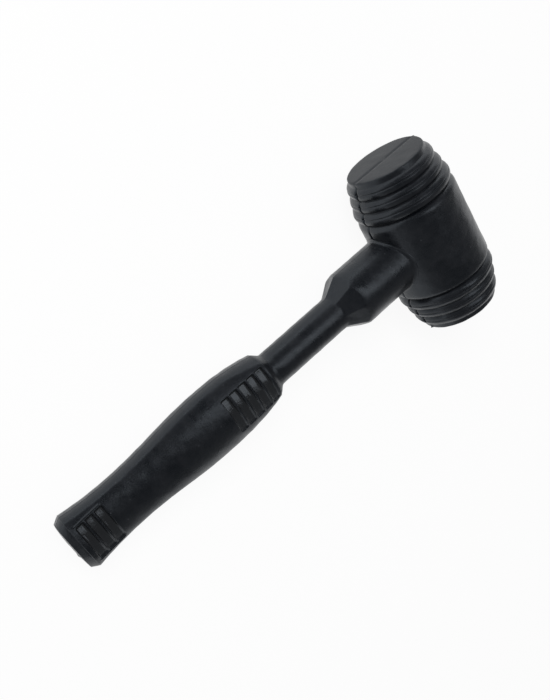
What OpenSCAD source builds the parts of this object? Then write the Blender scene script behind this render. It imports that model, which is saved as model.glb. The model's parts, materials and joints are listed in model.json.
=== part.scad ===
// Soft face hammer: one black moulding over a shot-filled steel canister and a steel rod.
// The hammer lies on its side on a flat surface. X runs from the butt to the head, Y runs
// along the head from one striking face to the other, and Z points up.

/* [Head] */
// Diameter of the plain barrel
head_d = 60; // [54:0.5:70]
// Length between the two striking faces
head_len = 103.5; // [98:0.5:120]
// Diameter of the end disc that carries a striking face
face_d = 47; // [42:0.2:48]
// Rounding of the striking face's edge
face_round = 1.2; // [0.5:0.1:2]
// Widening of the end disc from its face to the first groove
face_flare = 0.3; // [0.2:0.1:0.8]

/* [Head ribs] */
// Ribs at each end of the head
rib_count = 3; // [2:1:3]
// Distance from one rib to the next
rib_pitch = 7; // [6.6:0.1:7.4]
// Radius of a rib's rounded crest
rib_round = 4.4; // [3.8:0.1:5.2]
// Step down from each rib to the next one towards the face
rib_step = 1.7; // [1:0.1:2]
// Step down from the barrel to the nearest rib
rib_drop = 0.1; // [0.1:0.1:1]
// Distance from the striking face to the middle of the first rib
rib_inset = 7.8; // [6.8:0.1:8.2]
// Rounding of the barrel's shoulder above the last groove
shoulder_round = 2.4; // [1:0.1:3]

/* [Neck and shank] */
// Diameter of the neck
neck_d = 34.8; // [32:0.2:38]
// Head centre to the corners where the neck's facets start
taper_start = 62.5; // [58:0.5:68]
// Length of the faceted taper, measured along its corners
taper_len = 10.6; // [8:0.1:12]
// Diameter of the shank
shank_d = 20.8; // [19.6:0.2:22]

/* [Grip] */
// Head centre to the front rim of the grip
rim_at = 126.2; // [122:0.2:130]
// Head centre to the thickest place of the grip
belly_at = 161.5; // [156:0.5:168]
// Head centre to the waist of the grip
waist_at = 226; // [220:0.5:230]
// Head centre to the widest place of the butt
butt_at = 254.4; // [252:0.2:262]
// Width of the front rim, along the head
rim_w = 28.8; // [26:0.2:30]
// Width of the belly
belly_w = 37.8; // [34:0.2:40]
// Width of the waist
waist_w = 30; // [27:0.2:31]
// Width of the butt
butt_w = 34.4; // [32:0.2:37]
// Thickness of the front rim, across the hammer
rim_t = 25; // [23.6:0.2:26]
// Thickness of the belly
belly_t = 27; // [26:0.2:30]
// Thickness of the waist
waist_t = 22; // [21:0.2:24]
// Thickness of the butt
butt_t = 25; // [24:0.2:27]
// Distance of each broad side's centre of curvature from the handle's axis
side_offset = 11; // [9:0.5:14]
// Length of the bevel round the butt
butt_bevel_len = 4; // [2:0.2:6]
// Depth of the bevel round the butt
butt_bevel = 2.6; // [1:0.2:4]
// Rise of the butt's domed end
butt_dome = 1.4; // [0.6:0.1:2]

/* [Grip pockets] */
// Pockets in the front group of each side
front_pockets = 5; // [3:1:5]
// Pockets in the butt group of each side
butt_pockets = 3; // [2:1:3]
// Distance from one pocket to the next
pocket_pitch = 6.1; // [5.6:0.1:6.4]
// Width of a pocket along the handle
pocket_w = 4.6; // [4:0.1:5]
// Length of a pocket across the grip
pocket_len = 21; // [18:0.2:22]
// Depth of a pocket below the grip's surface
pocket_depth = 1.5; // [0.8:0.1:1.6]
// Rounding of a pocket's corners
pocket_round = 0.6; // [0.4:0.1:1.2]
// Front rim to the middle of the first front pocket
front_pocket_gap = 3.6; // [3:0.1:5]
// Butt's widest place to the middle of the last pocket
butt_pocket_gap = 6; // [5:0.1:8]

/* [Canister] */
// Outside diameter of the canister tube
can_d = 41.6; // [40:0.2:44]
// Wall of the canister tube
can_wall = 1.5; // [1.2:0.1:2]
// Length of the canister tube
can_len = 66; // [62:0.5:70]
// Thickness of a canister cap
cap_t = 2.5; // [2:0.1:3]
// Length of a cap's skirt inside the tube
cap_skirt = 5; // [4:0.5:6]

/* [Shot] */
// Diameter of one shot
shot_d = 7.5; // [7:0.1:7.6]
// Layers of shot along the head
shot_layers = 7; // [4:1:7]
// Rings of shot round the middle one in the widest layer
shot_rings = 2; // [1:1:2]

/* [Handle core] */
// Diameter of the handle rod
rod_d = 11; // [10:0.2:12]
// Cover of the moulding between the rod's end and the butt
rod_cover = 14; // [10:0.5:20]
// Outside diameter of the rod socket
socket_d = 19; // [17:0.2:21]
// Head centre to the open end of the rod socket
socket_end = 48; // [44:0.5:54]
// Diameter of the cross pin
pin_d = 4; // [3:0.2:5]
// Outside diameter of the spacers
spacer_d = 16; // [14.5:0.1:16.6]
// Length of a spacer along the rod
spacer_len = 8; // [6:0.5:10]

/* [Hidden] */
// Smooth curves for small and for large radii
$fn = 96;
broad_fn = 360;

// Room between the moulding and the steel core, and between fitted steel pieces
bond_gap = 0.1;
fit_gap = 0.05;
// Room between neighbouring shot, and between the charge and the tube
shot_gap = 0.1;
// Bevel on the ends of the rod and the pin
edge_bevel = 0.6;
// Flat land round the butt's dome
dome_land = 0.6;
// Extra length that lets a cut or a join run past a face
overrun = 0.5;

// Sides of the faceted taper, and the angle from a facet's middle to its corner
taper_sides = 8;
taper_half_angle = 180 / taper_sides;
// The same wedge serves two opposite facets
taper_wedges = taper_sides / 2;

head_r = head_d / 2;
head_half = head_len / 2;
face_r = face_d / 2;
neck_r = neck_d / 2;
shank_r = shank_d / 2;
can_r = can_d / 2;
can_in_r = can_r - can_wall;
cap_r = can_in_r - fit_gap;
cup_r = cap_r - cap_t;
rod_r = rod_d / 2;
socket_r = socket_d / 2;
spacer_r = spacer_d / 2;

// Places and crests of the ribs, numbered from the face inwards
function rib_at(i) = head_half - rib_inset - i * rib_pitch;
function rib_crest(i) = head_r - rib_drop - (rib_count - 1 - i) * rib_step;
// Centre of a rib's rounding, from which neighbouring ribs meet in a sharp groove
function rib_core(i) = rib_crest(i) - rib_round;
last_rib = rib_count - 1;
barrel_half = rib_at(last_rib) - rib_pitch / 2;
disc_at = rib_at(0) + rib_pitch / 2;

// Ends of the handle
taper_end = taper_start + taper_len;
bevel_end = butt_at + butt_bevel_len;
butt_end = bevel_end + butt_dome;
rod_end = butt_end - rod_cover;
rod_start = can_r + fit_gap;
pin_at = (can_r + socket_end) / 2;
// Spacers sit in the middle of the shank and of the waist
front_spacer_at = (taper_end + rim_at) / 2;
rear_spacer_at = waist_at;

// Side view of the grip: place along the handle and half size, from the rim to the butt
grip_at = [rim_at, belly_at, waist_at, butt_at];
grip_half_w = [rim_w, belly_w, waist_w, butt_w] / 2;
grip_half_t = [rim_t, belly_t, waist_t, butt_t] / 2;

// The waist's arc is flatter than the belly's, so that the two cross inside their overlap
waist_flat_share = 1.02;
arc_overlap_share = 1 / 8;
arc_step = 0.01;

// Places of the pockets along the handle: the front group, then the butt group
pocket_places = concat(
    [for (i = [0 : front_pockets - 1]) rim_at + front_pocket_gap + i * pocket_pitch],
    [for (i = [0 : butt_pockets - 1]) butt_at - butt_pocket_gap - i * pocket_pitch]
);

// Shot in close packing: rows in a layer, layers on the hollows of the one before
shot_pitch = shot_d + shot_gap;
row_pitch_share = sqrt(3) / 2;
layer_pitch_share = sqrt(2 / 3);
hollow_share = 1 / sqrt(3);
shot_reach = shot_rings * shot_pitch + shot_gap;
charge_len = (shot_layers - 1) * layer_pitch_share * shot_pitch + shot_d;

// The hammer leans until its head and its butt both touch the surface
lean_reach = norm([butt_at, butt_t / 2]);
lean = asin(head_r / lean_reach) - atan(butt_t / 2 / butt_at);
lie_shift = (butt_end * cos(lean) - head_r) / 2;

// Frames: the lying hammer, the head's axis along Y, and the handle's axis along minus X

module lying() {
    translate([lie_shift, 0, head_r])
        rotate([0, -lean, 0])
            children();
}

module along_head() {
    rotate([-90, 0, 0])
        children();
}

module along_handle() {
    rotate([0, -90, 0])
        children();
}

// Head of the moulding

module barrel_profile() {
    square([head_r, barrel_half - shoulder_round]);
    square([head_r - shoulder_round, barrel_half]);
    translate([head_r - shoulder_round, barrel_half - shoulder_round])
        circle(r = shoulder_round);
}

module rib_profile() {
    for (i = [0 : last_rib])
        translate([rib_core(i), rib_at(i)])
            circle(r = rib_round);
}

// Tapered root under the ribs, and the end disc with its flat face
module root_profile() {
    polygon([
        [0, 0],
        [rib_core(last_rib), barrel_half - shoulder_round],
        [rib_core(0), rib_at(0)],
        [face_r + face_flare, disc_at],
        [face_r, head_half - face_round],
        [face_r - face_round, head_half],
        [0, head_half]
    ]);
    translate([face_r - face_round, head_half - face_round])
        circle(r = face_round);
}

module half_head_profile() {
    intersection() {
        union() {
            barrel_profile();
            rib_profile();
            root_profile();
        }
        square([head_r, head_half]);
    }
}

module head_solid() {
    along_head()
        rotate_extrude() {
            half_head_profile();
            mirror([0, 1])
                half_head_profile();
        }
}

// Neck with its eight-sided taper, and the shank

module taper_wedge() {
    // Line through the facet's middle, carried past the neck by one more taper length
    small = shank_r * cos(taper_half_angle);
    large = neck_r * cos(taper_half_angle);
    wide = large + (large - small);
    rotate([90, 0, 0])
        linear_extrude(height = neck_d + overrun, center = true)
            polygon([
                [-wide, 0],
                [wide, 0],
                [wide, taper_start - taper_len],
                [small, taper_end],
                [-small, taper_end],
                [-wide, taper_start - taper_len]
            ]);
}

module neck_solid() {
    along_handle()
        intersection() {
            cylinder(r = neck_r, h = taper_end);
            for_all_wedges();
        }
}

module for_all_wedges() {
    intersection_for (i = [0 : taper_wedges - 1])
        rotate([0, 0, taper_half_angle + i * 2 * taper_half_angle])
            taper_wedge();
}

module shank_solid() {
    along_handle()
        cylinder(r = shank_r, h = belly_at);
}

// Grip: an oval made by a round middle and two broad sides, each turned from four arcs

// Radii are kept to a step, so that arcs that meet level at a crest or a waist line up
function neat(r) = round(r / arc_step) * arc_step;
// Radius of an arc that leaves a crest level and falls by drop over run
function crest_radius(run, drop) = (run * run + drop * drop) / (2 * drop);
// Radius of two equal arcs that join a crest and a waist
function swing_radius(run, drop) = (run * run + drop * drop) / (4 * drop);

// Half outline of the grip: half is its half size at the four places, axis is the distance
// of the turning axis, and inset draws the whole outline in
module grip_profile(half, axis, inset) {
    radius = [for (h = half) h + axis - inset];
    reach = max(radius) + overrun;
    front_r = neat(crest_radius(grip_at[1] - grip_at[0], half[1] - half[0]));
    belly_r = neat(swing_radius(grip_at[2] - grip_at[1], half[1] - half[2]));
    waist_r = neat(waist_flat_share * belly_r);
    flare_r = neat(crest_radius(grip_at[3] - grip_at[2], half[3] - half[2]));
    middle = (grip_at[1] + grip_at[2]) / 2;
    overlap = arc_overlap_share * (grip_at[2] - grip_at[1]);
    bevel_foot = shank_r - overrun + axis - inset;
    front = rim_at - (radius[0] - bevel_foot);
    intersection() {
        union() {
            // Belly, in front of its crest and behind it
            arc_segment(reach, front, grip_at[1])
                translate([radius[1] - front_r + inset, grip_at[1]])
                    circle(r = front_r - inset, $fn = broad_fn);
            arc_segment(reach, grip_at[1], middle + overlap)
                translate([radius[1] - belly_r + inset, grip_at[1]])
                    circle(r = belly_r - inset, $fn = broad_fn);
            // Hollow of the waist, on both sides of its narrowest place
            hollow_segment(reach, middle, grip_at[2])
                translate([radius[2] + waist_r + inset, grip_at[2]])
                    circle(r = waist_r + inset, $fn = broad_fn);
            hollow_segment(reach, grip_at[2], bevel_end)
                translate([radius[2] + flare_r + inset, grip_at[2]])
                    circle(r = flare_r + inset, $fn = broad_fn);
        }
        // Bevels: at 45 degrees in front of the rim, and round the butt
        polygon([
            [0, front],
            [bevel_foot, front],
            [reach, rim_at + reach - radius[0]],
            [reach, butt_at - (reach - radius[3]) * butt_bevel_len / butt_bevel],
            [radius[3] - butt_bevel, bevel_end],
            [0, bevel_end]
        ]);
    }
}

module arc_segment(reach, from, to) {
    intersection() {
        translate([0, from])
            square([reach, to - from]);
        children();
    }
}

module hollow_segment(reach, from, to) {
    difference() {
        translate([0, from])
            square([reach, to - from]);
        children();
    }
}

module grip_body(inset) {
    intersection() {
        rotate_extrude()
            grip_profile(grip_half_w, 0, inset);
        for_both_sides(inset);
    }
}

module for_both_sides(inset) {
    intersection_for (side = [-1, 1])
        translate([side * side_offset, 0, 0])
            rotate_extrude()
                grip_profile(grip_half_t, side_offset, inset);
}

// Shallow dome on the butt's flat end, with a land left round it
module butt_dome_solid() {
    dome_r = grip_half_t[3] - butt_bevel - dome_land;
    sphere_r = crest_radius(dome_r, butt_dome);
    intersection() {
        translate([0, 0, butt_end - sphere_r])
            sphere(r = sphere_r, $fn = broad_fn);
        translate([0, 0, bevel_end - butt_bevel])
            cylinder(r = dome_r + dome_land / 2, h = butt_dome + butt_bevel + overrun);
    }
}

// Pocket cut through one side of the grip, from its axis outwards
module pocket_cut(place) {
    rotate([0, 90, 0])
        linear_extrude(height = belly_w)
            translate([-place, 0])
                pocket_outline();
}

module pocket_outline() {
    flat_w = pocket_w - 2 * pocket_round;
    flat_len = pocket_len - 2 * pocket_round;
    square([flat_w, pocket_len], center = true);
    square([pocket_w, flat_len], center = true);
    for (x = [-1, 1], y = [-1, 1])
        translate([x * flat_w / 2, y * flat_len / 2])
            circle(r = pocket_round);
}

module grip_solid() {
    along_handle() {
        difference() {
            grip_body(0);
            for (place = pocket_places, turn = [0, 180])
                rotate([0, 0, turn])
                    pocket_cut(place);
        }
        grip_body(pocket_depth);
        butt_dome_solid();
    }
}

// Space that the steel core takes up inside the moulding

module core_space() {
    difference() {
        along_head()
            cylinder(r = can_r + bond_gap, h = can_len + 2 * bond_gap, center = true);
        for (turn = [0, 180])
            rotate([turn, 0, 0])
                along_head()
                    cap_filling();
    }
    along_handle() {
        cylinder(r = socket_r + bond_gap, h = socket_end + bond_gap);
        cylinder(r = rod_r + bond_gap, h = rod_end + bond_gap);
        for (place = [front_spacer_at, rear_spacer_at])
            translate([0, 0, place - spacer_len / 2 - bond_gap])
                cylinder(r = spacer_r + bond_gap, h = spacer_len + 2 * bond_gap);
    }
}

// Moulding that fills the hollow of a canister cap
module cap_filling() {
    translate([0, 0, can_len / 2 - cap_skirt + cap_t + bond_gap])
        cylinder(r = cup_r - bond_gap, h = cap_skirt);
}

// The pieces

module moulded_jacket() {
    color([0.12, 0.12, 0.13])
        lying()
            difference() {
                union() {
                    head_solid();
                    neck_solid();
                    shank_solid();
                    grip_solid();
                }
                core_space();
            }
}

module canister_tube() {
    color([0.62, 0.63, 0.65])
        lying()
            along_head()
                difference() {
                    cylinder(r = can_r, h = can_len, center = true);
                    cylinder(r = can_in_r, h = can_len + 2 * overrun, center = true);
                }
}

// Pressed cup that closes the tube, with its skirt turned outwards to the tube's end
module canister_cap() {
    translate([0, 0, can_len / 2 - cap_skirt])
        difference() {
            cylinder(r = cap_r, h = cap_skirt);
            translate([0, 0, cap_t])
                cylinder(r = cup_r, h = cap_skirt);
        }
}

module canister_cap_upper() {
    color([0.55, 0.56, 0.58])
        lying()
            along_head()
                canister_cap();
}

module canister_cap_lower() {
    color([0.55, 0.56, 0.58])
        lying()
            along_head()
                mirror([0, 0, 1])
                    canister_cap();
}

// One layer of shot: every place of the close-packed plane that lies within the reach
module shot_layer(shift) {
    for (row = [-shot_rings - 1 : shot_rings + 1], step = [-2 * shot_rings - 1 : 2 * shot_rings + 1]) {
        x = (step + row / 2) * shot_pitch;
        y = row * row_pitch_share * shot_pitch + shift;
        if (norm([x, y]) < shot_reach)
            translate([x, y, 0])
                sphere(d = shot_d);
    }
}

module shot_charge() {
    color([0.45, 0.46, 0.48])
        lying()
            along_head()
                for (layer = [0 : shot_layers - 1])
                    translate([0, 0, (layer - (shot_layers - 1) / 2) * layer_pitch_share * shot_pitch])
                        shot_layer(layer % 2 == 0 ? 0 : hollow_share * shot_pitch);
}

// Collar with a saddle that fits the tube, a bore for the rod and a cross hole for the pin
module rod_socket() {
    color([0.5, 0.5, 0.52])
        lying()
            difference() {
                along_handle()
                    cylinder(r = socket_r, h = socket_end);
                along_head()
                    cylinder(r = can_r + fit_gap, h = neck_d, center = true);
                along_handle()
                    cylinder(r = rod_r + fit_gap, h = socket_end + overrun);
                pin_hole();
            }
}

module pin_hole() {
    along_handle()
        translate([0, 0, pin_at])
            rotate([0, 90, 0])
                cylinder(d = pin_d + 2 * fit_gap, h = socket_d + overrun, center = true);
}

module bevelled_bar(r, h) {
    rotate_extrude()
        polygon([
            [0, 0],
            [r - edge_bevel, 0],
            [r, edge_bevel],
            [r, h - edge_bevel],
            [r - edge_bevel, h],
            [0, h]
        ]);
}

module socket_pin() {
    pin_len = 2 * sqrt(socket_r * socket_r - pin_d * pin_d / 4);
    color([0.72, 0.72, 0.74])
        lying()
            along_handle()
                translate([-pin_len / 2, 0, pin_at])
                    rotate([0, 90, 0])
                        bevelled_bar(pin_d / 2, pin_len);
}

module handle_rod() {
    color([0.58, 0.58, 0.6])
        lying()
            difference() {
                along_handle()
                    translate([0, 0, rod_start])
                        bevelled_bar(rod_r, rod_end - rod_start);
                pin_hole();
            }
}

// Plain ring round the rod, with its edges broken
module spacer(place) {
    along_handle()
        translate([0, 0, place - spacer_len / 2])
            difference() {
                bevelled_bar(spacer_r, spacer_len);
                translate([0, 0, -overrun])
                    cylinder(r = rod_r + fit_gap, h = spacer_len + 2 * overrun);
            }
}

module front_spacer() {
    color([0.2, 0.2, 0.22])
        lying()
            spacer(front_spacer_at);
}

module rear_spacer() {
    color([0.2, 0.2, 0.22])
        lying()
            spacer(rear_spacer_at);
}

moulded_jacket();
canister_tube();
canister_cap_upper();
canister_cap_lower();
shot_charge();
rod_socket();
socket_pin();
handle_rod();
front_spacer();
rear_spacer();
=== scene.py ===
import json
import math

import bpy
import numpy as np
from mathutils import Matrix, Vector


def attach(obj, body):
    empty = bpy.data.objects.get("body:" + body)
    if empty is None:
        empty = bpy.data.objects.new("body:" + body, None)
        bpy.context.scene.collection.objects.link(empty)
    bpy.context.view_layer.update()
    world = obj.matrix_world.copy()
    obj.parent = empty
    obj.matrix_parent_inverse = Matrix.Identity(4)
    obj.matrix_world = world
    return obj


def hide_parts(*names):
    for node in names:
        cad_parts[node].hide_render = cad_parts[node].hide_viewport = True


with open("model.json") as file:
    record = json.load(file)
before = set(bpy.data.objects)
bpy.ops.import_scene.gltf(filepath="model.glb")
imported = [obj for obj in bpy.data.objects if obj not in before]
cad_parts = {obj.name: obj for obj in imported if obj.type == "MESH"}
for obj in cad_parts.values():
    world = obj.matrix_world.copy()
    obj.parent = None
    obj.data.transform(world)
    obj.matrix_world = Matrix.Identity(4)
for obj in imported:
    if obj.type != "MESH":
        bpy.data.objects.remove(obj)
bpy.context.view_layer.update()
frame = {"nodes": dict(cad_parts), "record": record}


# The hammer lies on its side, with head and butt on the floor. The striking faces and the
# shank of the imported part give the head's centre and size and the direction of the handle.
# Sizes below are in millimetres; u runs down the handle, y along the head, w upwards.

MM = 0.001
mounts = {mount["name"]: mount for mount in frame["record"]["mounts"]}
upper_face = np.array(mounts["upper_face"]["pos_m"]) / MM
lower_face = np.array(mounts["lower_face"]["pos_m"]) / MM
head_centre = (upper_face + lower_face) / 2
across = np.array([0.0, 1.0, 0.0])
along = -np.array(mounts["shank_clip"]["axis"])
above = np.cross(across, along)
head_half = (upper_face - lower_face) @ across / 2
head_r = head_centre[2]
shank_r = mounts["shank_clip"]["dims"]["r_mm"]


def place(u, y, w):
    """Head centre plus u down the handle, y along the head and w upwards, in millimetres."""
    return head_centre + u[..., None] * along + y[..., None] * across + w[..., None] * above


# Canister: a drawn steel tube along the head with a pressed steel cap in each end. It holds
# the shot, and the black moulding is cast round it. Fine drawing lines run along the head.

drawn_lines = (900.0, 25.0, 900.0)
pressed_lines = (300.0, 300.0, 300.0)
stain_spots, stain_weight = 70.0, -0.35


def new_material(name):
    """A material with its Principled shader; returns material, nodes, links and the shader."""
    material = bpy.data.materials.new(name)
    material.use_nodes = True
    nodes = material.node_tree.nodes
    return material, nodes, material.node_tree.links, nodes["Principled BSDF"]


def finish_group(name, inputs):
    """An empty node group with these inputs, and with Color, Roughness and Height as outputs."""
    group = bpy.data.node_groups.new(name, "ShaderNodeTree")
    for label, kind, value in inputs:
        socket = group.interface.new_socket(label, in_out="INPUT", socket_type=kind)
        socket.default_value = value
    group.interface.new_socket("Color", in_out="OUTPUT", socket_type="NodeSocketColor")
    group.interface.new_socket("Roughness", in_out="OUTPUT", socket_type="NodeSocketFloat")
    group.interface.new_socket("Height", in_out="OUTPUT", socket_type="NodeSocketFloat")
    nodes = group.nodes
    return group, nodes, group.links, nodes.new("NodeGroupInput"), nodes.new("NodeGroupOutput")


def noise(nodes, links, where, scale, detail):
    """Noise on these coordinates, from 0 to 1; scale is in spots per metre."""
    texture = nodes.new("ShaderNodeTexNoise")
    texture.inputs["Scale"].default_value = scale
    texture.inputs["Detail"].default_value = detail
    links.new(where, texture.inputs["Vector"])
    return texture.outputs["Fac"]


def carried(nodes, links, value, low, high):
    """The share of the way from low to high at which value lies, kept between 0 and 1."""
    node = nodes.new("ShaderNodeMapRange")
    node.inputs["From Min"].default_value = low
    node.inputs["From Max"].default_value = high
    links.new(value, node.inputs["Value"])
    return node.outputs["Result"]


def mixed(nodes, links, share, first, second, kind):
    """The first value or colour at share 0 and the second at share 1."""
    node = nodes.new("ShaderNodeMix")
    node.data_type = kind
    sockets = {"FLOAT": (2, 3, 0), "RGBA": (6, 7, 2)}[kind]
    links.new(share, node.inputs[0])
    for place_in, source in zip(sockets[:2], (first, second)):
        if isinstance(source, (float, tuple)):
            node.inputs[place_in].default_value = source
        else:
            links.new(source, node.inputs[place_in])
    return node.outputs[sockets[2]]


def summed(nodes, links, first, second, weight):
    """First plus weight times second."""
    node = nodes.new("ShaderNodeMath")
    node.operation = "MULTIPLY_ADD"
    links.new(second, node.inputs[0])
    node.inputs[1].default_value = weight
    links.new(first, node.inputs[2])
    return node.outputs[0]


def steel_group():
    """Bare steel: streaks of noise, stretched by Lines, swing the colour from Deep to Pale,
    the roughness from Bright to Dull and the height; broad stains darken it a little."""
    group, nodes, links, given, result = finish_group("bare_steel", [
        ("Deep", "NodeSocketColor", (0.2, 0.2, 0.21, 1)),
        ("Pale", "NodeSocketColor", (0.5, 0.5, 0.5, 1)),
        ("Bright", "NodeSocketFloat", 0.2), ("Dull", "NodeSocketFloat", 0.45),
        ("Lines", "NodeSocketVector", pressed_lines)])
    where = nodes.new("ShaderNodeTexCoord").outputs["Object"]
    stretched = nodes.new("ShaderNodeVectorMath")
    stretched.operation = "MULTIPLY"
    links.new(where, stretched.inputs[0])
    links.new(given.outputs["Lines"], stretched.inputs[1])
    streaks = noise(nodes, links, stretched.outputs["Vector"], 1.0, 4.0)
    streaks = carried(nodes, links, streaks, 0.3, 0.7)
    stains = carried(nodes, links, noise(nodes, links, where, stain_spots, 3.0), 0.35, 0.75)
    shade = summed(nodes, links, streaks, stains, stain_weight)
    links.new(mixed(nodes, links, shade, given.outputs["Deep"], given.outputs["Pale"], "RGBA"),
              result.inputs["Color"])
    links.new(mixed(nodes, links, stains, given.outputs["Bright"], given.outputs["Dull"], "FLOAT"),
              result.inputs["Roughness"])
    links.new(streaks, result.inputs["Height"])
    return group


def finished(name, group, values, metallic, bump_depth):
    """A material whose colour, roughness and bump come from a finish group set to values."""
    material, nodes, links, shader = new_material(name)
    finish = nodes.new("ShaderNodeGroup")
    finish.node_tree = group
    for label, value in values.items():
        finish.inputs[label].default_value = value
    bump = nodes.new("ShaderNodeBump")
    bump.inputs["Strength"].default_value = 1.0
    bump.inputs["Distance"].default_value = bump_depth * MM
    links.new(finish.outputs["Color"], shader.inputs["Base Color"])
    links.new(finish.outputs["Roughness"], shader.inputs["Roughness"])
    links.new(finish.outputs["Height"], bump.inputs["Height"])
    links.new(bump.outputs["Normal"], shader.inputs["Normal"])
    shader.inputs["Metallic"].default_value = metallic
    return material


def dress(node, material):
    """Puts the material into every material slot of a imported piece."""
    thing = frame["nodes"][node]
    for slot in thing.material_slots:
        slot.material = material


bare_steel = steel_group()
tube_steel = finished("canister_steel", bare_steel, {
    "Deep": (0.36, 0.365, 0.38, 1), "Pale": (0.6, 0.61, 0.63, 1), "Lines": drawn_lines}, 1.0, 0.02)
cap_steel = finished("cap_steel", bare_steel, {
    "Deep": (0.33, 0.335, 0.35, 1), "Pale": (0.54, 0.55, 0.57, 1), "Lines": pressed_lines}, 1.0, 0.01)
dress("canister_tube", tube_steel)
dress("canister_cap_upper", cap_steel)
dress("canister_cap_lower", cap_steel)


# Shot: loose rolled steel balls that fill about two thirds of the canister. They slide from
# cap to cap as the hammer strikes, which stops its rebound. They are dull and a little stained.

rolled_lines = (420.0, 420.0, 420.0)
shot_steel = finished("shot_steel", bare_steel, {
    "Deep": (0.22, 0.22, 0.235, 1), "Pale": (0.46, 0.47, 0.49, 1),
    "Bright": 0.28, "Dull": 0.5, "Lines": rolled_lines}, 1.0, 0.01)
dress("shot_charge", shot_steel)


# Handle core: a turned socket welded to the canister takes a cold-drawn rod, and a ground
# cross pin keeps the rod in. The drawing lines of the rod run down the handle.

rod_lines = (20.0, 800.0, 800.0)
ground_lines = (1200.0, 1200.0, 40.0)
rod_steel = finished("rod_steel", bare_steel, {
    "Deep": (0.34, 0.34, 0.355, 1), "Pale": (0.57, 0.57, 0.59, 1), "Lines": rod_lines}, 1.0, 0.02)
pin_steel = finished("pin_steel", bare_steel, {
    "Deep": (0.5, 0.5, 0.515, 1), "Pale": (0.68, 0.68, 0.7, 1),
    "Bright": 0.12, "Dull": 0.24, "Lines": ground_lines}, 1.0, 0.005)
dress("rod_socket", rod_steel)
dress("handle_rod", rod_steel)
dress("socket_pin", pin_steel)


# Spacers: two matt moulded rings pressed on the rod. They hold it in the middle of the mould
# while the black moulding is cast, and stay inside it.

blotch_spots, mottle_spots, grain_spots = 95.0, 330.0, 1300.0
mottle_weight, grain_weight = 0.6, 1.2
wear_range = (0.3, 2.4)
speck_spots, speck_picks, speck_radii = 260.0, (0.72, 0.8), (0.12, 0.03)
speck_dust = (0.04, 0.042, 0.047, 1)
mottle_relief, speck_relief = 0.8, -0.6


def moulded_group():
    """Moulded skin: blotches about a centimetre wide, a finer mottle and a fine grain swing the
    colour from Deep to Pale and the roughness from Gloss to Matt; a few pale dust specks lie on
    it, each in a small pit, and mottle, grain and pits make its height."""
    group, nodes, links, given, result = finish_group("moulded_skin", [
        ("Deep", "NodeSocketColor", (0.005, 0.005, 0.006, 1)),
        ("Pale", "NodeSocketColor", (0.01, 0.01, 0.01, 1)),
        ("Gloss", "NodeSocketFloat", 0.25), ("Matt", "NodeSocketFloat", 0.4)])
    where = nodes.new("ShaderNodeTexCoord").outputs["Object"]
    blotch = carried(nodes, links, noise(nodes, links, where, blotch_spots, 3.0), 0.36, 0.66)
    mottle = carried(nodes, links, noise(nodes, links, where, mottle_spots, 5.0), 0.36, 0.66)
    grain = noise(nodes, links, where, grain_spots, 4.0)
    worn = summed(nodes, links, blotch, mottle, mottle_weight)
    worn = summed(nodes, links, worn, grain, grain_weight)
    share = carried(nodes, links, worn, *wear_range)
    cells = nodes.new("ShaderNodeTexVoronoi")
    cells.inputs["Scale"].default_value = speck_spots
    links.new(where, cells.inputs["Vector"])
    chosen = nodes.new("ShaderNodeSeparateColor")
    links.new(cells.outputs["Color"], chosen.inputs["Color"])
    picked = carried(nodes, links, chosen.outputs["Red"], *speck_picks)
    centre = carried(nodes, links, cells.outputs["Distance"], *speck_radii)
    specks = nodes.new("ShaderNodeMath")
    specks.operation = "MULTIPLY"
    links.new(picked, specks.inputs[0])
    links.new(centre, specks.inputs[1])
    skin = mixed(nodes, links, share, given.outputs["Deep"], given.outputs["Pale"], "RGBA")
    dusty = mixed(nodes, links, specks.outputs[0], skin, speck_dust, "RGBA")
    links.new(dusty, result.inputs["Color"])
    links.new(mixed(nodes, links, share, given.outputs["Gloss"], given.outputs["Matt"], "FLOAT"),
              result.inputs["Roughness"])
    relief = summed(nodes, links, grain, mottle, mottle_relief)
    relief = summed(nodes, links, relief, specks.outputs[0], speck_relief)
    links.new(relief, result.inputs["Height"])
    return group


moulded_skin = moulded_group()
spacer_finish = finished("spacer_moulding", moulded_skin, {
    "Deep": (0.045, 0.045, 0.05, 1), "Pale": (0.075, 0.075, 0.08, 1),
    "Gloss": 0.55, "Matt": 0.75}, 0.0, 0.02)
dress("front_spacer", spacer_finish)
dress("rear_spacer", spacer_finish)


# Head of the moulding: one black rubber casting with a plain barrel, three rounded ribs and
# a flat disc at each end. It is cast in a two-part mould, and the parting plane runs through
# the middle of the head and the handle: it leaves a line on the faces and a seam on the ribs.

face_r = 23.5
face_round = 1.2
face_flare = 0.3
face_fall = 0.02
face_top = head_half - face_fall
rib_crests = (26.5, 28.2, 29.9)
rib_places = (43.95, 36.95, 29.95)
rib_round = 4.4
disc_at = 1.5 * rib_places[0] - 0.5 * rib_places[1]
barrel_end = 1.5 * rib_places[2] - 0.5 * rib_places[1]
shoulder_round = 4.0
valley_round = 0.25
rib_groove, groove_width, groove_shift = 0.45, 0.36, 1.2
draft_share = math.tan(math.radians(1.1))
line_depth, line_width = 0.55, 1.35
seam_depth, seam_width = 0.7, 0.7
nick_sizes = (1.3, 0.9, 0.9)
parting_height, parting_width = 0.12, 0.28
burr_height, burr_width = 1.1, 0.7
burr_at = face_top - 0.7
swell_size, swell_depth = 12.0, 0.24
swell_seed, swell_waves, swell_spread = 11, 14, (0.5, 2.2)
column_crowding = 0.85
head_columns, head_rows, face_rows = 200, 216, 9
outline_steps, bend_window, bend_weight = 6001, 25, 3


def soft_min(a, b, width):
    """The smaller of two values, with the corner between them rounded over width."""
    return (a + b - np.sqrt((a - b) ** 2 + width ** 2)) / 2


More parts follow.
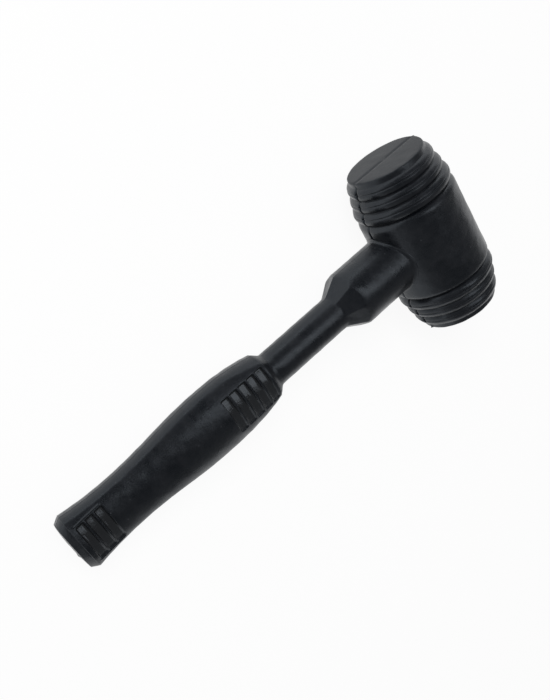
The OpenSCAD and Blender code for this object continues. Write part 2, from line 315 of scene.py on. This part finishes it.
def soft_max(a, b, width):
    """The larger of two values, with the corner between them rounded over width."""
    return -soft_min(-a, -b, width)


def bell(x, width):
    """1 at x = 0, falling to nearly nothing at two widths to either side."""
    return np.exp(-(x / width) ** 2)


def uneven(points):
    """Sum of sine waves in fixed random directions: the slight unevenness that a thick
    moulding keeps after it shrinks. Never above zero."""
    rng = np.random.default_rng(swell_seed)
    waves = rng.normal(size=(swell_waves, 3))
    waves *= 2 * math.pi / swell_size / np.linalg.norm(waves, axis=1)[:, None]
    waves *= rng.uniform(*swell_spread, (swell_waves, 1))
    phase = rng.uniform(0, 2 * math.pi, swell_waves)
    height = np.sin(points @ waves.T + phase).sum(-1) / swell_waves ** 0.5
    return swell_depth * (np.clip(height, -2, 2) - 2) / 4


def head_outline(y):
    """Radius of the head at y: the largest of the barrel with its rounded shoulder, the rib
    circles and the end disc, softened where two meet, less a fine groove round each rib; the
    upper end's grooves lie a little nearer its face."""
    shift = np.where(y > 0, groove_shift, 0)
    y = np.abs(y)
    shoulder = np.clip(y - (barrel_end - shoulder_round), 0, shoulder_round)
    barrel = head_r - shoulder_round + np.sqrt(shoulder_round ** 2 - shoulder ** 2)
    outline = np.where(y <= barrel_end, barrel, 0)
    for crest, rib in zip(rib_crests, rib_places):
        rise = rib_round ** 2 - (y - rib) ** 2
        groove = rib_groove * bell(y - rib - shift, groove_width)
        circle = crest - rib_round + np.sqrt(np.maximum(rise, 0)) - groove
        outline = soft_max(outline, np.where(rise > 0, circle, 0), valley_round)
    edge = np.clip(y - (face_top - face_round), 0, face_round)
    disc = face_r - face_round + np.sqrt(face_round ** 2 - edge ** 2)
    flare = (face_top - face_round - y) / (face_top - face_round - disc_at)
    disc = disc + face_flare * np.clip(flare, 0, 1)
    return soft_max(outline, np.where(y >= disc_at, disc, 0), valley_round)


def spaced(x, curve, count):
    """Count values of x at even steps along the curve, with closer steps where it bends."""
    run = np.hypot(np.gradient(x), np.gradient(curve))
    bend = np.abs(np.gradient(np.arctan2(np.gradient(curve), np.abs(np.gradient(x)))))
    window = np.ones(bend_window) / bend_window
    steps = np.cumsum(run + bend_weight * np.convolve(bend, window, "same"))
    return np.interp(np.linspace(steps[0], steps[-1], count), steps, x)


def head_surface():
    """Rows run from the upper face's middle over the outline to the lower face's middle, and
    columns round the head, crowding towards the parting plane. The skin is the outline less
    the seam with its nicks on the handle's side, plus a fine ridge on the far side."""
    fine = np.linspace(face_top, -face_top, outline_steps)
    outline = head_outline(fine)
    y = spaced(fine, outline, head_rows)
    r = np.interp(-y, -fine, outline)
    rim_r = r[0]
    share = np.linspace(0, 1, face_rows + 1)[1:-1]
    r = np.concatenate([share * rim_r, r, share[::-1] * rim_r])[:, None]
    y = np.concatenate([np.full(len(share), face_top), y, np.full(len(share), -face_top)])[:, None]
    turn = np.linspace(0, 2 * math.pi, head_columns, endpoint=False)
    turn = turn - column_crowding * np.sin(2 * turn) / 2
    back, w = r * np.cos(turn), r * np.sin(turn)
    dent = uneven(place(-back, y, w))
    # Each half of a face falls away from the parting line, and the line itself is sunk
    on_disc = np.clip((np.abs(y) - disc_at) / (face_top - face_round - disc_at), 0, 1)
    on_face = np.clip((rim_r + face_round - r) / face_round, 0, 1) * (on_disc == 1)
    lift = on_face * (dent - line_depth * bell(w, line_width)) - on_disc * draft_share * np.abs(w)
    # Seam and nicks on the handle's side, ridge on the far side, a burr at one end of each line
    seam = seam_depth * bell(w, seam_width) * (1 - on_disc)
    shift = np.where(y > 0, groove_shift, 0)
    for rib, size in zip(rib_places, nick_sizes):
        seam = seam + size * bell(np.hypot(np.abs(y) - rib - shift, w), size)
    ridge = parting_height * (bell(w, parting_width) * (1 - on_disc) * (back > 0) - 1)
    burr = burr_height * bell(np.hypot(np.abs(y) - burr_at, w), burr_width) * (back * y > 0)
    rise = dent + ridge + burr - seam * (back < 0)
    scale = 1 + rise / np.maximum(r, rib_round)
    return place(-back * scale, y + np.sign(y) * lift, w * scale)


def closed_mesh(name, rings, first, last):
    """Quads between neighbouring rings, joined round, with a fan to a point at each end."""
    rows, columns = rings.shape[:2]
    points = np.concatenate([rings.reshape(-1, 3), [first, last]]) * MM
    ring, column = np.meshgrid(np.arange(rows - 1), np.arange(columns), indexing="ij")
    after = (column + 1) % columns
    corners = [ring * columns + column, ring * columns + after,
               (ring + 1) * columns + after, (ring + 1) * columns + column]
    quads = np.stack(corners, -1).reshape(-1, 4)
    edge = np.arange(columns)
    turned = (edge + 1) % columns
    tail = (rows - 1) * columns
    start_fan = np.stack([np.full(columns, len(points) - 2), turned, edge], -1)
    end_fan = np.stack([np.full(columns, len(points) - 1), tail + edge, tail + turned], -1)
    mesh = bpy.data.meshes.new(name)
    mesh.from_pydata(points.tolist(), [], quads.tolist() + start_fan.tolist() + end_fan.tolist())
    mesh.update()
    thing = bpy.data.objects.new(name, mesh)
    bpy.context.scene.collection.objects.link(thing)
    return thing


head_rings = head_surface()
head_shell = closed_mesh("head_shell", head_rings, head_rings[0].mean(0), head_rings[-1].mean(0))


# Handle of the same casting: a thick neck filleted into the barrel, an eight-sided taper, a
# round shank and an oval grip with moulded pockets on its two broad sides. The parting plane
# leaves a fine ridge down both edges of the handle and a burr on the butt.

neck_r, neck_fillet, neck_lip = 17.4, 1.6, 0.06
taper_start, taper_len, taper_sides = 62.5, 10.6, 8
taper_soft, shank_soft, facet_sharpness = 0.5, 0.7, 70
neck_overlap, neck_rows = 4, 9
corner_steps = np.array([-0.7, -0.4, -0.2, 0.0, 0.2, 0.4, 0.7, 1.0])[:, None]
corner_crowding = 0.6
rim_at, belly_at, waist_at, butt_at = 126.2, 161.5, 226.0, 254.4
half_width = (14.4, 18.9, 15.0, 17.2)
half_thick = (12.5, 13.5, 11.0, 12.5)
side_offset, crease_round, rim_round = 11.0, 0.8, 0.9
shank_rows, bevel_rows, rim_rows, rim_margin = 15, 16, 6, 0.6
butt_bevel_len, butt_bevel, butt_dome, butt_round = 4.0, 2.6, 0.9, 0.16
bevel_steps = np.array([0.05, 0.11, 0.19, 0.3, 0.5, 0.7, 0.86, 0.94, 1.0])[:, None]
dome_steps = np.array([0.97, 0.93, 0.86, 0.74, 0.6, 0.45, 0.3, 0.15])[:, None]
front_pockets, butt_pockets = 5, 3
front_pitch, butt_pitch = 5.98, 5.92
front_pocket_gap, butt_pocket_gap = 4.3, 5.0
pocket_w, pocket_half, pocket_depth = 4.5, 10.6, 1.5
run_out, middle_depth = 0.35, 0.85
plain_rows, end_rows, wall_margin = 44, 6, 1
wall_steps = np.array([-0.52, -0.38, -0.2, 0.2, 0.38, 0.52])
head_wall, butt_wall = 1.15, 0.6
wall_shares = np.array([0.0, 0.08, 0.28, 0.72, 0.92, 1.0])
end_run_share = 1.3
lip_y, lip_height, lip_width, lip_reach = 12.1, 0.55, 0.3, (19.3, 1.6)
lip_steps = np.array([0.6, 0.34, 0.14, -0.14, -0.34, -0.6])
butt_burr_y, butt_burr = -7.0, 0.66
quarter_columns = (11, 6, 19)
edge_crowding = 1.6
least_r = 6


def grip_half(u, half):
    """Half size of the grip at u: arcs that are level at the belly's crest and at the waist."""
    rim, belly, waist, butt = half
    front = belly - (belly - rim) * ((belly_at - u) / (belly_at - rim_at)) ** 2
    swing = (u - belly_at) / (waist_at - belly_at)
    swing = np.where(swing < 0.5, 2 * swing ** 2, 1 - 2 * (1 - swing) ** 2)
    flare = waist + (butt - waist) * ((u - waist_at) / (butt_at - waist_at)) ** 2
    middle = belly - (belly - waist) * swing
    return np.where(u < belly_at, front, np.where(u < waist_at, middle, flare))


def grip_radius(u, angle):
    """Distance from the handle's axis to the grip's skin: the smaller of a round section and
    two flatter arcs whose centres lie beyond the axis, with a soft crease between them."""
    arc = grip_half(u, half_thick) + side_offset
    flat = np.sqrt(arc ** 2 - (side_offset * np.cos(angle)) ** 2)
    flat = flat - side_offset * np.abs(np.sin(angle))
    return soft_min(grip_half(u, half_width), flat, crease_round)


def grip_angles(u):
    """Column angles of the grip's rows, for a quarter turned into a full round: columns crowd
    at the parting plane and keep to the crease, the lip and the pockets' end walls."""
    wide = grip_half(u, half_width)
    arc = grip_half(u, half_thick) + side_offset
    crease_w = (arc ** 2 - wide ** 2 - side_offset ** 2) / (2 * side_offset)
    crease = np.arcsin(np.clip(crease_w / wide, -1, 1))
    kept_y = np.concatenate([lip_y + lip_steps, pocket_half - end_run_share * wall_steps])
    kept = np.arctan2(np.sqrt(arc[:, None] ** 2 - kept_y ** 2) - side_offset, kept_y)
    edge, slope, side = (np.arange(count) / count for count in quarter_columns)
    quarter = np.concatenate([
        crease[:, None] * edge ** edge_crowding,
        crease[:, None] + (kept[:, :1] - crease[:, None]) * slope,
        kept[:, :-1],
        kept[:, -1:] + (math.pi / 2 - kept[:, -1:]) * side], axis=1)
    right_angle = np.full((len(u), 1), math.pi / 2)
    half_turn = np.concatenate([quarter, right_angle, math.pi - quarter[:, :0:-1]], axis=1)
    return np.concatenate([half_turn, half_turn + math.pi], axis=1)


def pocket_columns():
    """Share of the pockets' depth in each column: none at the sides, full between the walls."""
    sides = np.zeros(quarter_columns[0] + quarter_columns[1] + len(lip_steps))
    quarter = np.concatenate([sides, wall_shares[:-1], np.ones(quarter_columns[2])])
    half_turn = np.concatenate([quarter, [1.0], quarter[:0:-1]])
    return np.concatenate([half_turn, half_turn])


def grip_rows():
    """Places of the grip's rows along the handle and their share of the pockets' depth: rows
    crowd at each pocket's two walls and are even elsewhere."""
    front = rim_at + front_pocket_gap + front_pitch * np.arange(front_pockets)
    rear = butt_at - butt_pocket_gap - butt_pitch * np.arange(butt_pockets)[::-1]
    pocket_floor = np.array([-0.9, 0.9])
    head_steps = head_wall * wall_steps - pocket_w / 2
    butt_steps = butt_wall * wall_steps + pocket_w / 2
    across_pocket = np.concatenate([head_steps, pocket_floor, butt_steps])
    shares = np.concatenate([wall_shares, np.ones(len(pocket_floor)), wall_shares[::-1]])
    past_wall = pocket_w / 2 + wall_margin
    lead = rim_at + np.array([0.4, 0.9])
    plain = np.linspace(front[-1] + past_wall, rear[0] - past_wall, plain_rows)
    last = np.linspace(rear[-1] + past_wall, butt_at, end_rows)
    front_rows = (front[:, None] + across_pocket).ravel()
    rear_rows = (rear[:, None] + across_pocket).ravel()
    front_shares, rear_shares = np.tile(shares, front_pockets), np.tile(shares, butt_pockets)
    rows = [lead, front_rows, plain, rear_rows, last]
    depth = [lead * 0, front_shares, plain * 0, rear_shares, last * 0]
    return np.concatenate(rows), np.concatenate(depth)


def neck_stretch(turn):
    """Fillet from the barrel's skin to the neck's, the neck, and the taper: the radius is the
    smaller of the neck's and the facets', and the larger of that and the shank's."""
    root = np.sqrt(head_r ** 2 - ((neck_r + neck_fillet) * np.sin(turn)) ** 2)
    corner = np.sqrt(head_r ** 2 - (neck_r * np.sin(turn)) ** 2)
    t = np.linspace(0, 1, neck_rows)[:, None]
    fillet_u = (1 - t) ** 2 * (root + neck_lip) + 2 * t * (1 - t) * corner
    fillet_u = fillet_u + t ** 2 * (corner + neck_fillet)
    fillet_r = neck_r + neck_fillet * (1 - t) ** 2
    facets = (np.arange(taper_sides) + 0.5) * 2 * math.pi / taper_sides
    facing = np.clip(np.cos(turn[:, None] - facets), 0, None)
    flattest = (facing ** facet_sharpness).sum(1) ** (1 / facet_sharpness)
    stretch = math.cos(math.pi / taper_sides) / flattest
    slope = (neck_r - shank_r) / taper_len
    begin = taper_start + (neck_r - neck_r / stretch) / slope
    end = taper_start + (neck_r - shank_r / stretch) / slope
    neck_u = corner + neck_fillet + t[1:] * (begin - 1 - corner - neck_fillet)
    between = begin + 1 + t[1:-1] * (end - begin - 2)
    taper_u = np.concatenate([begin + corner_steps, between, end - corner_steps[::-1]])
    facet_r = (neck_r - slope * (taper_u - taper_start)) * stretch
    taper_r = soft_max(soft_min(neck_r, facet_r, taper_soft), shank_r, shank_soft)
    u = np.concatenate([root[None] - neck_overlap, fillet_u, neck_u, taper_u])
    inside_r = np.full((1, len(turn)), neck_r + neck_fillet)
    r = np.concatenate([inside_r, fillet_r + 0 * turn, neck_r + 0 * neck_u, taper_r])
    return u, r, turn + 0 * u


def rim_stretch(neck_turn, rim_turn, start):
    """Shank, whose columns turn gently from the taper's corners to the grip's crease, and the
    bevel at 45 degrees up to the grip's rim."""
    t = np.linspace(0, 1, shank_rows)[1:, None]
    bevel_start = rim_at - (half_width[0] - shank_r) - rim_margin
    shank_u = start + t * (bevel_start - start)
    shank_turn = neck_turn + t * (rim_turn - neck_turn)
    bevel_steps_u = np.linspace(bevel_start + 0.15, rim_at - rim_margin, bevel_rows)
    rim_steps_u = rim_at + np.linspace(-0.42, 0.25, rim_rows)
    bevel_u = np.concatenate([bevel_steps_u, rim_steps_u])[:, None] + 0 * rim_turn
    bevel_r = grip_radius(np.array(rim_at), rim_turn) - (rim_at - bevel_u)
    bevel_r = soft_max(bevel_r, shank_r, shank_soft)
    bevel_r = soft_min(bevel_r, grip_radius(np.maximum(bevel_u, rim_at), rim_turn), rim_round)
    u = np.concatenate([shank_u, bevel_u])
    r = np.concatenate([shank_r + 0 * shank_u, bevel_r])
    return u, r, np.concatenate([shank_turn, rim_turn + 0 * bevel_u])


def butt_stretch(turn):
    """Bevel round the butt, rounded at both edges, and the end's shallow dome."""
    last_r = grip_radius(np.array(butt_at), turn)
    bevel_r = last_r - soft_max(0, bevel_steps - butt_round / 4, butt_round) * butt_bevel
    bevel_u = butt_at + bevel_steps * butt_bevel_len + 0 * turn
    dome_u = butt_at + butt_bevel_len + butt_dome * (1 - dome_steps ** 2) + 0 * turn
    u = np.concatenate([bevel_u, dome_u])
    return u, np.concatenate([bevel_r, dome_steps * bevel_r[-1:]]), turn + 0 * u


def handle_surface():
    """Rows run from inside the head to the butt's end, and columns round the handle: each
    stretch gives its rows' places u, radii r and angles, and the pockets, the lip and the
    parting ridge are then raised or sunk from that skin."""
    grip_u, pocket_share = grip_rows()
    grip_turn = grip_angles(grip_u)
    rim_turn = grip_angles(np.array([rim_at]))[0]
    even = np.linspace(0, 2 * math.pi, len(rim_turn), endpoint=False)
    neck_turn = even - corner_crowding * np.sin(taper_sides * even) / taper_sides
    neck = neck_stretch(neck_turn)
    rim = rim_stretch(neck_turn, rim_turn, neck[0][-1])
    grip = (grip_u[:, None] + 0 * grip_turn, grip_radius(grip_u[:, None], grip_turn), grip_turn)
    butt = butt_stretch(grip_turn[-1])
    u, r, turn = (np.concatenate(rows) for rows in zip(neck, rim, grip, butt))
    y, w = r * np.cos(turn), r * np.sin(turn)
    first = len(neck[0]) + len(rim[0])
    depth = np.zeros_like(u)
    depth[first:first + len(grip_u)] = pocket_depth * pocket_share[:, None] * pocket_columns()
    depth = depth * (middle_depth + run_out * y / pocket_half)
    beside = np.clip(u - butt_at + lip_reach[0], 0, 1) * np.clip(butt_at - lip_reach[1] - u, 0, 1)
    lip = lip_height * beside * bell(np.abs(y) - lip_y, lip_width)
    w = w + np.sign(w) * (lip - depth)
    # The parting ridge also crosses the butt's end, where it leaves a burr
    on_end = u > butt_at + butt_bevel_len
    ridge = parting_height * bell(w, parting_width)
    u = u + on_end * (ridge + butt_burr * bell(np.hypot(y - butt_burr_y, w), burr_width))
    scale = 1 + (uneven(place(u, y, w)) + ridge * ~on_end) / np.maximum(r, least_r)
    return place(u, y * scale, w * scale)


handle_rings = handle_surface()
handle_end = np.array(butt_at + butt_bevel_len + butt_dome)
handle_tip = place(handle_end, np.array(0.0), np.array(0.0))
handle_shell = closed_mesh("moulding", handle_rings, handle_rings[0].mean(0), handle_tip)


# Skin of the moulding: head and handle are one casting, so their shells become one surface of
# black rubber with a low sheen. The pockets' floors, which no hand rubs, keep the mould's
# gloss and are given a lighter colour as painted sheen, and the striking faces are worn matt.

sharp_angle = 50
struck_matt, struck_zone = 0.5, (50.2 * MM, 51.2 * MM)
# The floors' lower roughness is the mould's gloss; their lighter colour is painted sheen.
floor_gloss, floor_painted_sheen = 0.18, (0.012, 0.0125, 0.0135, 1)
gloss_gain, gloss_start = 2, 0.6
cool_sheen = (0.81, 0.9, 1.0, 1)


def gloss_and_sheen_share(points):
    """1 on the pockets' floors, which get the gloss and the painted sheen, and 0 on the grip's
    skin: from the share of the pockets' depth at which a point lies under the skin."""
    u, y, w = ((points - head_centre) @ axis for axis in (along, across, above))
    skin = grip_radius(np.clip(u, rim_at, butt_at), np.arctan2(w, y))
    depth = np.where((u > rim_at) & (u < butt_at), skin - np.hypot(y, w), 0)
    return np.clip(gloss_gain * depth / pocket_depth - gloss_start, 0, 1)


def united(base, other):
    """One skin out of two closed shells that run into each other; the inner faces go."""
    joiner = base.modifiers.new("join", "BOOLEAN")
    joiner.operation = "UNION"
    joiner.solver = "MANIFOLD"
    joiner.object = other
    view = bpy.context.evaluated_depsgraph_get()
    mesh = bpy.data.meshes.new_from_object(base.evaluated_get(view))
    base.modifiers.clear()
    base.data = mesh
    bpy.data.objects.remove(other)
    mesh.shade_smooth()
    mesh.set_sharp_from_angle(angle=math.radians(sharp_angle))
    return base


moulding = united(handle_shell, head_shell)
rubber = finished("black_moulding", moulded_skin, {
    "Deep": (0.0010, 0.0016, 0.0028, 1), "Pale": (0.0074, 0.0078, 0.0096, 1),
    "Gloss": 0.22, "Matt": 0.43}, 0.0, 0.05)
nodes, links = rubber.node_tree.nodes, rubber.node_tree.links
shader = nodes["Principled BSDF"]
shader.inputs["Specular Tint"].default_value = cool_sheen
spot = nodes.new("ShaderNodeSeparateXYZ")
links.new(nodes.new("ShaderNodeTexCoord").outputs["Object"], spot.inputs["Vector"])
from_middle = nodes.new("ShaderNodeMath")
from_middle.operation = "ABSOLUTE"
links.new(spot.outputs["Y"], from_middle.inputs[0])
struck = carried(nodes, links, from_middle.outputs[0], *struck_zone)
worn = shader.inputs["Roughness"].links[0].from_socket
worn = mixed(nodes, links, struck, worn, struck_matt, "FLOAT")
sheen = nodes.new("ShaderNodeAttribute")
sheen.attribute_name = "gloss_and_painted_sheen"
worn = mixed(nodes, links, sheen.outputs["Fac"], worn, floor_gloss, "FLOAT")
links.new(worn, shader.inputs["Roughness"])
# The pockets' floors are mixed to a lighter colour: painted sheen.
skin = shader.inputs["Base Color"].links[0].from_socket
skin = mixed(nodes, links, sheen.outputs["Fac"], skin, floor_painted_sheen, "RGBA")
links.new(skin, shader.inputs["Base Color"])
points = np.empty(len(moulding.data.vertices) * 3)
moulding.data.vertices.foreach_get("co", points)
gloss = moulding.data.attributes.new("gloss_and_painted_sheen", "FLOAT", "POINT")
gloss.data.foreach_set("value", gloss_and_sheen_share(points.reshape(-1, 3) / MM))
moulding.data.materials.clear()
moulding.data.materials.append(rubber)
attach(moulding, "hammer")
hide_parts("moulded_jacket")


# Floor: a large sheet of white paper that the hammer lies on. The camera, gloss and glass all
# see it almost evenly white, and it keeps the hammer's faint shadow.

floor_reach = 4.0
sheet_white, sheet_roughness = (0.92, 0.92, 0.92, 1.0), 0.9
even_share = 0.93
floor_corners = [(-floor_reach, -floor_reach, 0), (floor_reach, -floor_reach, 0),
                 (floor_reach, floor_reach, 0), (-floor_reach, floor_reach, 0)]
floor_mesh = bpy.data.meshes.new("floor")
floor_mesh.from_pydata(floor_corners, [], [(0, 1, 2, 3)])
floor = bpy.data.objects.new("floor", floor_mesh)
bpy.context.scene.collection.objects.link(floor)

paper, nodes, links, shader = new_material("white_sheet")
shader.inputs["Roughness"].default_value = sheet_roughness
shader.inputs["Base Color"].default_value = sheet_white
rays = nodes.new("ShaderNodeLightPath").outputs
seen = summed(nodes, links, rays["Is Camera Ray"], rays["Is Glossy Ray"], 1.0)
seen = summed(nodes, links, seen, rays["Is Transmission Ray"], 1.0)
evenly = nodes.new("ShaderNodeMath")
evenly.operation = "MULTIPLY"
evenly.inputs[1].default_value = even_share
links.new(seen, evenly.inputs[0])
white = nodes.new("ShaderNodeEmission")
sheet = nodes.new("ShaderNodeMixShader")
links.new(evenly.outputs[0], sheet.inputs["Fac"])
links.new(shader.outputs["BSDF"], sheet.inputs[1])
links.new(white.outputs["Emission"], sheet.inputs[2])
links.new(sheet.outputs["Shader"], nodes["Material Output"].inputs["Surface"])
floor_mesh.materials.append(paper)


# Light: a dim studio whose walls are white near the floor, a broad lamp that lights the sheet
# evenly, and a soft box above the head that makes the highlights. Each wall is given as pairs
# of height, from level (0) to straight up (1), and brightness.

near_wall = ((0.0, 1.9), (0.09, 1.9), (0.18, 0.46), (0.4, 0.26), (0.75, 0.2), (1.0, 0.12))
far_wall = ((0.0, 1.0), (0.12, 1.0), (0.15, 0.34), (0.4, 0.27), (0.8, 0.2), (1.0, 0.12))
far_to_near = (-0.3, 0.6)
world = bpy.data.worlds.new("studio")
world.use_nodes = True
nodes, links = world.node_tree.nodes, world.node_tree.links
backdrop = nodes["Background"]
heading = nodes.new("ShaderNodeSeparateXYZ")
links.new(nodes.new("ShaderNodeTexCoord").outputs["Generated"], heading.inputs["Vector"])


def wall_shades(shades):
    """Brightness of a wall by the height of the view, on straight lines between the pairs."""
    ramp = nodes.new("ShaderNodeValToRGB")
    stops = ramp.color_ramp.elements
    for number, (height, shade) in enumerate(shades):
        stop = stops[number] if number < 2 else stops.new(height)
        stop.position = height
        stop.color = (shade, shade, shade, 1)
    links.new(heading.outputs["Z"], ramp.inputs["Fac"])
    return ramp.outputs["Color"]


near_shades, far_shades = wall_shades(near_wall), wall_shades(far_wall)
lit_side = carried(nodes, links, heading.outputs["Y"], *far_to_near)
studio = mixed(nodes, links, lit_side, far_shades, near_shades, "RGBA")
links.new(studio, backdrop.inputs["Color"])
bpy.context.scene.world = world


def soft_box(name, where, long_axis, size, power):
    """A rectangular lamp that faces the hammer; long_axis is the way its long side runs."""
    lamp_data = bpy.data.lights.new(name, "AREA")
    lamp_data.shape = "RECTANGLE"
    lamp_data.size, lamp_data.size_y = size
    lamp_data.energy = power
    lamp = bpy.data.objects.new(name, lamp_data)
    outward = Vector(where).normalized()
    short = outward.cross(Vector(long_axis)).normalized()
    axes = Matrix((short.cross(outward), short, outward)).transposed()
    lamp.matrix_world = Matrix.Translation(where) @ axes.to_4x4()
    bpy.context.scene.collection.objects.link(lamp)
    return lamp


sheet_lamp = soft_box("sheet_lamp", (-0.15, 0.8, 1.0), (1, 0, 0), (0.6, 0.6), 11.5)
sheet_lamp.visible_glossy = False
soft_box("key_lamp", (0.23, 0.17, 0.94), (-0.6, 0.8, -0.06), (0.75, 0.36), 1.45)


# Camera: close above the handle, looking down at the middle of the hammer, turned so that
# the handle runs from the lower left to the head at the upper right.

eye = Vector((-154.4, 218.9, 419.6)) * MM
aim = Vector((10.2, -4.5, 0.0)) * MM
camera_roll = math.radians(105.06)
picture_height, focal_pixels = 700, 882.6
camera_data = bpy.data.cameras.new("camera")
camera_data.sensor_width = 36.0
camera_data.lens = camera_data.sensor_width * focal_pixels / picture_height
camera = bpy.data.objects.new("camera", camera_data)
sight = (aim - eye).normalized()
level = sight.cross(Vector((0, 0, 1))).normalized()
right = level * math.cos(camera_roll) + level.cross(sight) * math.sin(camera_roll)
camera_axes = Matrix((right, right.cross(sight), -sight)).transposed()
camera.matrix_world = Matrix.Translation(eye) @ camera_axes.to_4x4()
bpy.context.scene.collection.objects.link(camera)
bpy.context.scene.camera = camera
bpy.context.scene.view_settings.view_transform = "Standard"
